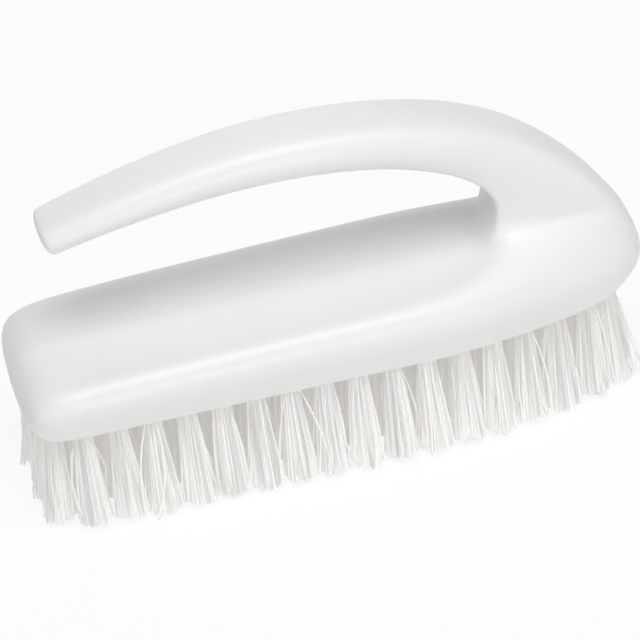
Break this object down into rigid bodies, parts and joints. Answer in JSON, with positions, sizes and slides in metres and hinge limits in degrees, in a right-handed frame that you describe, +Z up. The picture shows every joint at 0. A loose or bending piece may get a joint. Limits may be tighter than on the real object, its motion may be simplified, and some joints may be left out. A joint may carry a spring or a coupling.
{
  "type": "iron-style scrub brush",
  "caption": "White hand scrub brush with a flat-iron shape: a solid block full of stiff bristles and one open curved handle that rises from the nose and ends free above the heel.",
  "frame": {"origin": "centre of the bounding box at the bristle tips, the plane that the brush stands on", "axes": "+X along the block from the heel to the nose, +Y across the block, +Z up through the handle"},
  "size_m": [0.1499, 0.0476, 0.0847],
  "materials": {
    "white_polypropylene": "satin moulded, faint parting line",
    "white_polyester_filament": "drawn filament, trimmed ends",
    "stainless_strip": "rolled strip, sheared edges"
  },
  "bodies": {
    "root": {"block_and_handle": "white_polypropylene", "tuft_row_01": "white_polyester_filament", "tuft_row_02": "white_polyester_filament", "tuft_row_03": "white_polyester_filament", "tuft_row_04": "white_polyester_filament", "tuft_row_05": "white_polyester_filament", "tuft_row_06": "white_polyester_filament", "tuft_row_07": "white_polyester_filament", "tuft_row_08": "white_polyester_filament", "tuft_row_09": "white_polyester_filament", "tuft_row_10": "white_polyester_filament", "tuft_row_11": "white_polyester_filament", "tuft_row_12": "white_polyester_filament", "tuft_row_13": "white_polyester_filament", "tuft_row_14": "white_polyester_filament", "tuft_row_15": "white_polyester_filament", "tuft_row_16": "white_polyester_filament", "tuft_row_17": "white_polyester_filament", "tuft_row_18": "white_polyester_filament", "anchor_row_01": "stainless_strip", "anchor_row_02": "stainless_strip", "anchor_row_03": "stainless_strip", "anchor_row_04": "stainless_strip", "anchor_row_05": "stainless_strip", "anchor_row_06": "stainless_strip", "anchor_row_07": "stainless_strip", "anchor_row_08": "stainless_strip", "anchor_row_09": "stainless_strip", "anchor_row_10": "stainless_strip", "anchor_row_11": "stainless_strip", "anchor_row_12": "stainless_strip", "anchor_row_13": "stainless_strip", "anchor_row_14": "stainless_strip", "anchor_row_15": "stainless_strip", "anchor_row_16": "stainless_strip", "anchor_row_17": "stainless_strip", "anchor_row_18": "stainless_strip"}
  },
  "joints": []
}
